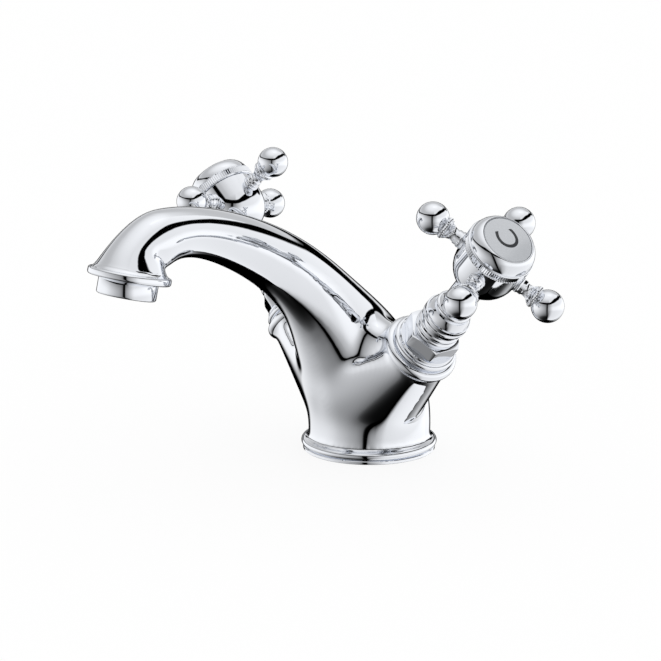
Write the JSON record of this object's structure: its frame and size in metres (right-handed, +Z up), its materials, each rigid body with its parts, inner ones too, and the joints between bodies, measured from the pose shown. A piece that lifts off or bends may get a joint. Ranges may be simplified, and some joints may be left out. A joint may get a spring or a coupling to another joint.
{
  "type": "basin mixer tap",
  "caption": "Deck-mounted basin mixer tap with a tapered swan neck spout, ceramic-disc valves leaning out on its sides and crosshead handles with ball ends.",
  "frame": {"origin": "centre of the base's underside, on the deck", "axes": "+Z up, -Y along the spout towards the user, +X towards the cold handle"},
  "size_m": [0.2044, 0.1607, 0.1155],
  "materials": {
    "chrome": "polished chrome plate",
    "brass": "turned brass",
    "steel": "bright stainless steel",
    "rubber": "black rubber",
    "valve_ceramic": "lapped white ceramic",
    "washer_plastic": "smooth low-friction plastic",
    "aerator_plastic": "moulded light grey plastic",
    "index_enamel": "domed pale enamel with a dark letter"
  },
  "bodies": {
    "tap": {"body_casting": "chrome", "base_gasket": "rubber", "aerator_housing": "chrome", "aerator_insert": "aerator_plastic", "aerator_gasket": "rubber", "cold_headwork": "chrome", "cold_seat_gasket": "rubber", "cold_fixed_disc": "valve_ceramic", "hot_headwork": "chrome", "hot_seat_gasket": "rubber", "hot_fixed_disc": "valve_ceramic"},
    "cold_handle": {"cold_moving_disc": "valve_ceramic", "cold_spindle": "brass", "cold_spindle_clip": "steel", "cold_thrust_washer": "washer_plastic", "cold_spindle_o_ring_1": "rubber", "cold_spindle_o_ring_2": "rubber", "cold_handle_hub": "chrome", "cold_arm_1": "chrome", "cold_arm_2": "chrome", "cold_arm_3": "chrome", "cold_arm_4": "chrome", "cold_handle_screw": "steel", "cold_cap": "chrome", "cold_index_disc": "index_enamel"},
    "hot_handle": {"hot_moving_disc": "valve_ceramic", "hot_spindle": "brass", "hot_spindle_clip": "steel", "hot_thrust_washer": "washer_plastic", "hot_spindle_o_ring_1": "rubber", "hot_spindle_o_ring_2": "rubber", "hot_handle_hub": "chrome", "hot_arm_1": "chrome", "hot_arm_2": "chrome", "hot_arm_3": "chrome", "hot_arm_4": "chrome", "hot_handle_screw": "steel", "hot_cap": "chrome", "hot_index_disc": "index_enamel"}
  },
  "joints": [
    {"name": "cold_turn", "type": "hinge", "parent": "tap", "child": "cold_handle", "pos_m": [0, -0.0025, 0.012], "axis": [0.705, -0.0542, 0.7071], "range_deg": [-90, 0]},
    {"name": "hot_turn", "type": "hinge", "parent": "tap", "child": "hot_handle", "pos_m": [0, -0.0025, 0.012], "axis": [-0.705, -0.0542, 0.7071], "range_deg": [0, 90]}
  ]
}
